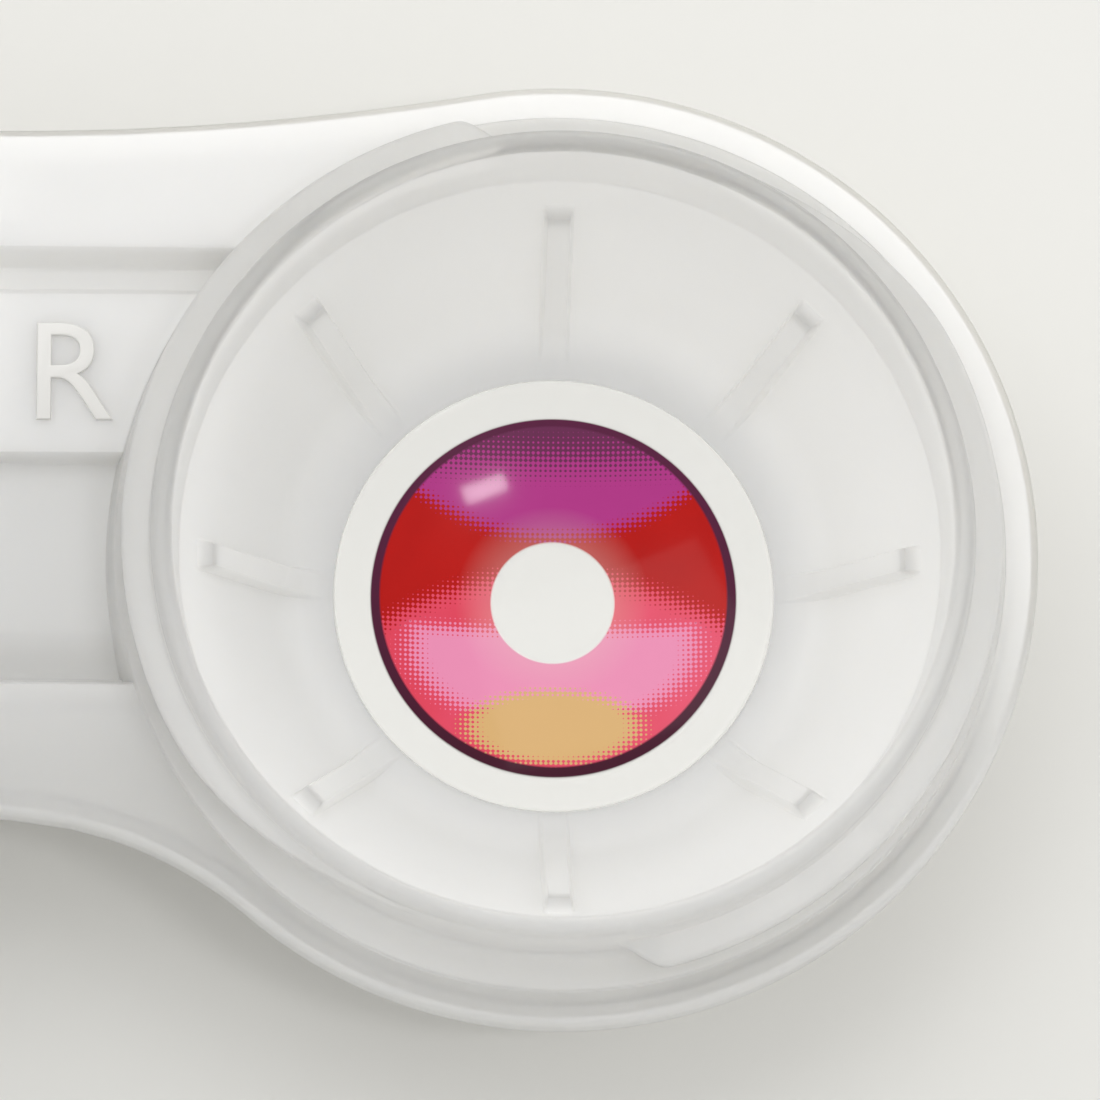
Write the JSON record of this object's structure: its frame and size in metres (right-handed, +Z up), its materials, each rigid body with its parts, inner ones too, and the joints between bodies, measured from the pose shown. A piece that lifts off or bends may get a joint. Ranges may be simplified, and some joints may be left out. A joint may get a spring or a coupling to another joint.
{
  "type": "contact lens case",
  "caption": "Flat twin-well contact lens case with screw-necked bowls, lug caps with sealing rings, and a soft cosmetic lens lying in the open well.",
  "frame": {"origin": "on the plane the case rests on, midway between the centres of the two wells", "axes": "+X from the left well to the open right well, +Y towards the straight back edge of the bridge (its waisted front edge faces -Y), +Z up out of the wells"},
  "size_m": [0.068, 0.0639, 0.0138],
  "materials": {
    "base_plastic": "natural polypropylene, translucent, fine moulded satin",
    "cap_plastic": "milky polypropylene, satin",
    "seal_rubber": "soft pale silicone, matt",
    "soft_lens": "wet hydrogel with a printed dotted colour ring"
  },
  "bodies": {
    "base": {"base": "base_plastic"},
    "left_ring": {"left_seal": "seal_rubber"},
    "left_cap": {"left_cap": "cap_plastic"},
    "right_cap": {"right_cap": "cap_plastic", "right_seal": "seal_rubber"},
    "right_lens": {"right_lens": "soft_lens"}
  },
  "joints": [
    {"name": "left_cap_rise", "type": "slide", "parent": "base", "child": "left_ring", "axis": [0, 0, 1], "range_m": [0, 0.00101]},
    {"name": "left_cap_turn", "type": "hinge", "parent": "left_ring", "child": "left_cap", "pos_m": [-0.0185, 0, 0.0085], "axis": [0, 0, 1], "range_deg": [0, 150]},
    {"name": "right_cap_lift", "type": "slide", "parent": "base", "child": "right_cap", "axis": [0, 0, 1], "range_m": [0, 0.03]},
    {"name": "right_lens_lift", "type": "slide", "parent": "base", "child": "right_lens", "axis": [0, 0, 1], "range_m": [0, 0.016]}
  ],
  "couplings": [
    {"joint": "left_cap_rise", "follows": "left_cap_turn", "m_per_rad": 0.00038197}
  ]
}
